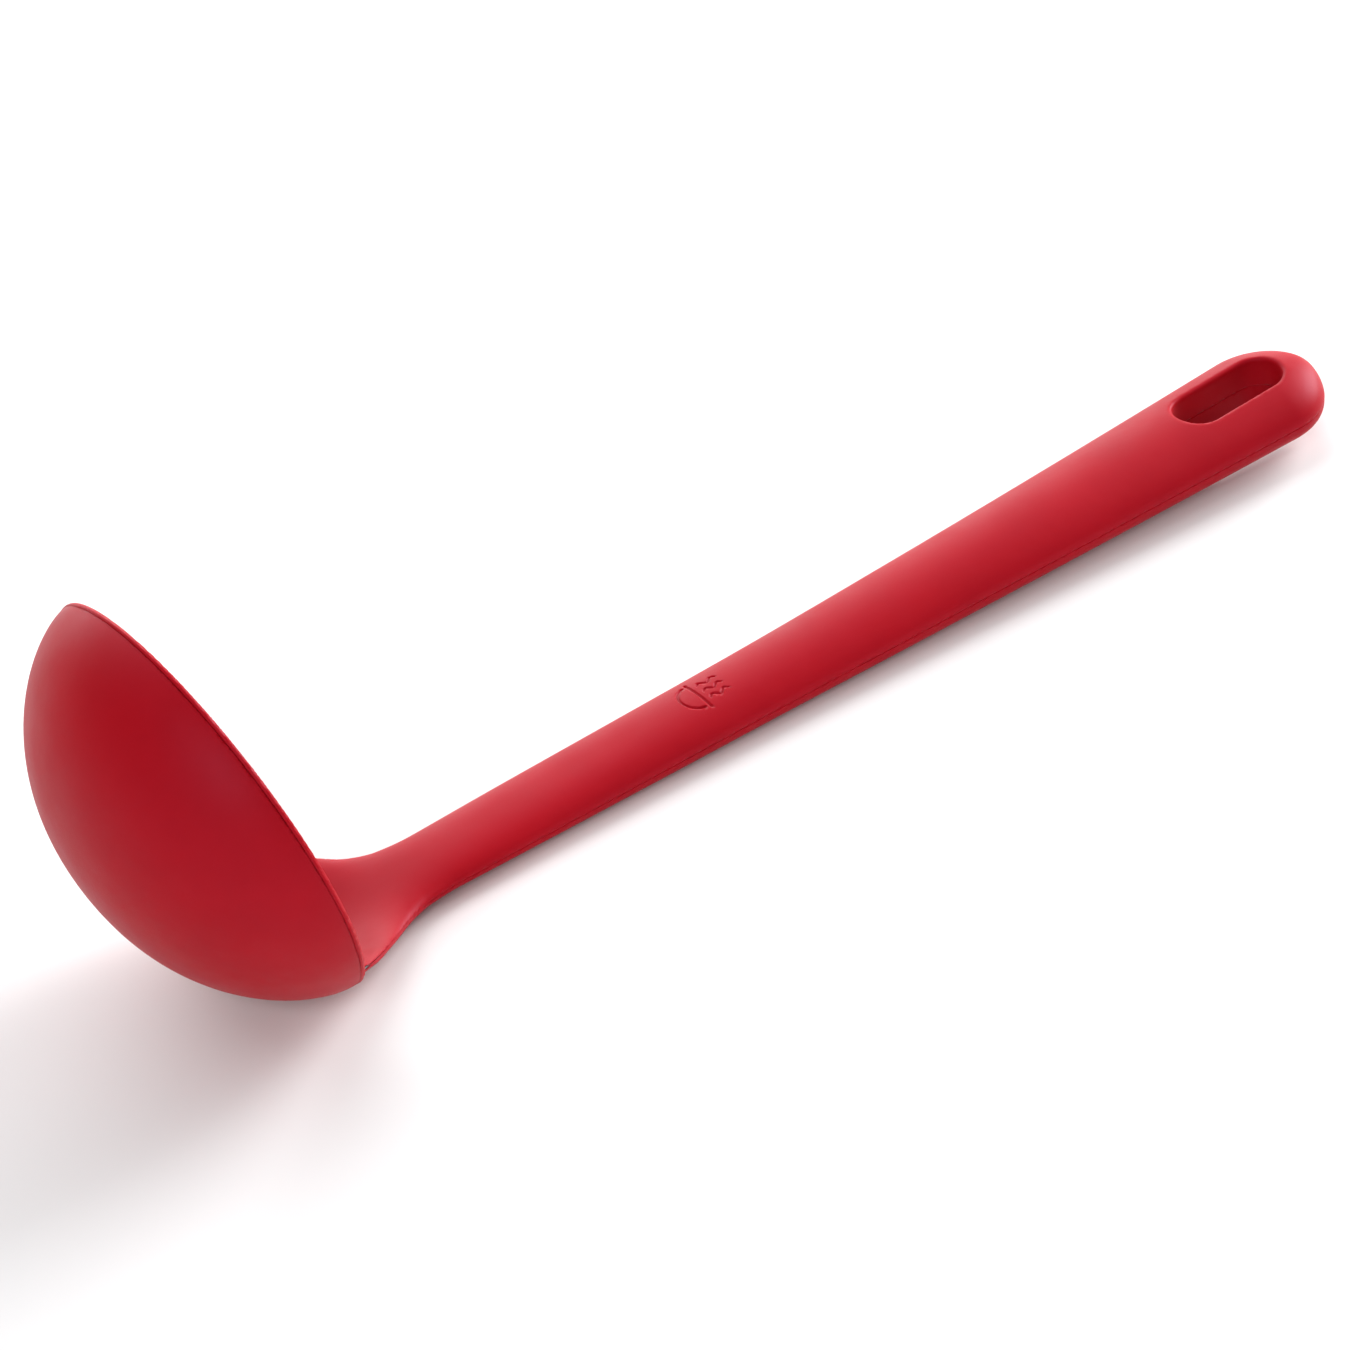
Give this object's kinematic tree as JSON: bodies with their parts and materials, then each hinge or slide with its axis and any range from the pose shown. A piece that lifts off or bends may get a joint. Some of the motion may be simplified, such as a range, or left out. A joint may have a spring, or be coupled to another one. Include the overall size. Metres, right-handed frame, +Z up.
{
  "type": "silicone soup ladle",
  "caption": "Soup ladle with a deep round bowl, a flared neck and a long tapering handle with a hanging slot, one stiff core covered in soft silicone.",
  "frame": {"origin": "centre of the footprint of the ladle lying on its back, at the height of the table", "axes": "+X from the bowl along the handle to its end, +Y across the handle, +Z up, away from the table"},
  "size_m": [0.3078, 0.0916, 0.0896],
  "materials": {
    "silicone": "soft matte red silicone",
    "nylon": "glass-filled nylon"
  },
  "bodies": {
    "root": {"nylon_core": "nylon", "silicone_front": "silicone", "silicone_back": "silicone"}
  },
  "joints": []
}
